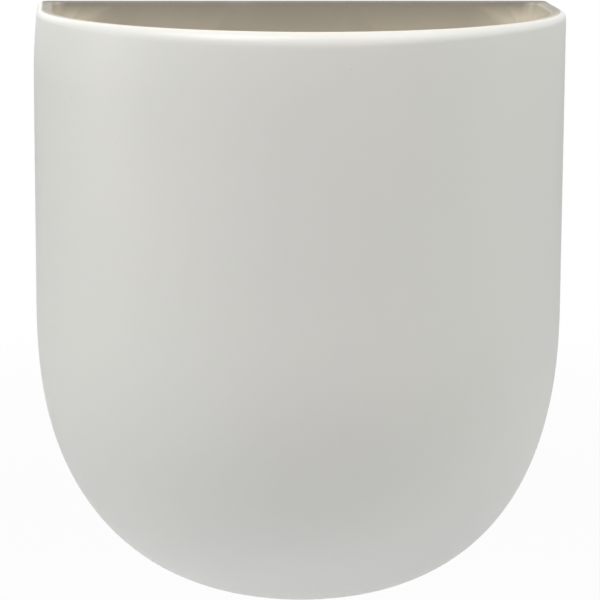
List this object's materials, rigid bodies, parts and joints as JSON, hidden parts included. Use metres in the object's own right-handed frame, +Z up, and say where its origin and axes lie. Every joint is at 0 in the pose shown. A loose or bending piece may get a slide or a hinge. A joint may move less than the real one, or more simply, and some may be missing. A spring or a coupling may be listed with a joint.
{
  "type": "half-round wall planter",
  "caption": "Half-round glazed ceramic wall pot with a flat back and rounded bottom; keyholes in its back wall hang on two plugged wall screws, so it lifts off.",
  "frame": {"origin": "on the wall plane, midway between the two wall screws that carry the pot", "axes": "+X right for someone facing the wall, +Y into the wall, +Z up; the pot stands out towards -Y"},
  "size_m": [0.19, 0.1655, 0.2125],
  "materials": {
    "white_glaze": "satin",
    "zinc_steel": "satin",
    "grey_nylon": "matte",
    "soft_pad": "satin"
  },
  "bodies": {
    "wall_fixings": {"screw_left": "zinc_steel", "screw_right": "zinc_steel", "plug_left": "grey_nylon", "plug_right": "grey_nylon"},
    "hung_pot": {"pot": "white_glaze", "pad_upper_left": "soft_pad", "pad_upper_right": "soft_pad", "pad_lower_left": "soft_pad", "pad_lower_right": "soft_pad"}
  },
  "joints": [
    {"name": "lift_off", "type": "slide", "parent": "wall_fixings", "child": "hung_pot", "axis": [0, 0, 1], "range_m": [0, 0.0095]}
  ]
}
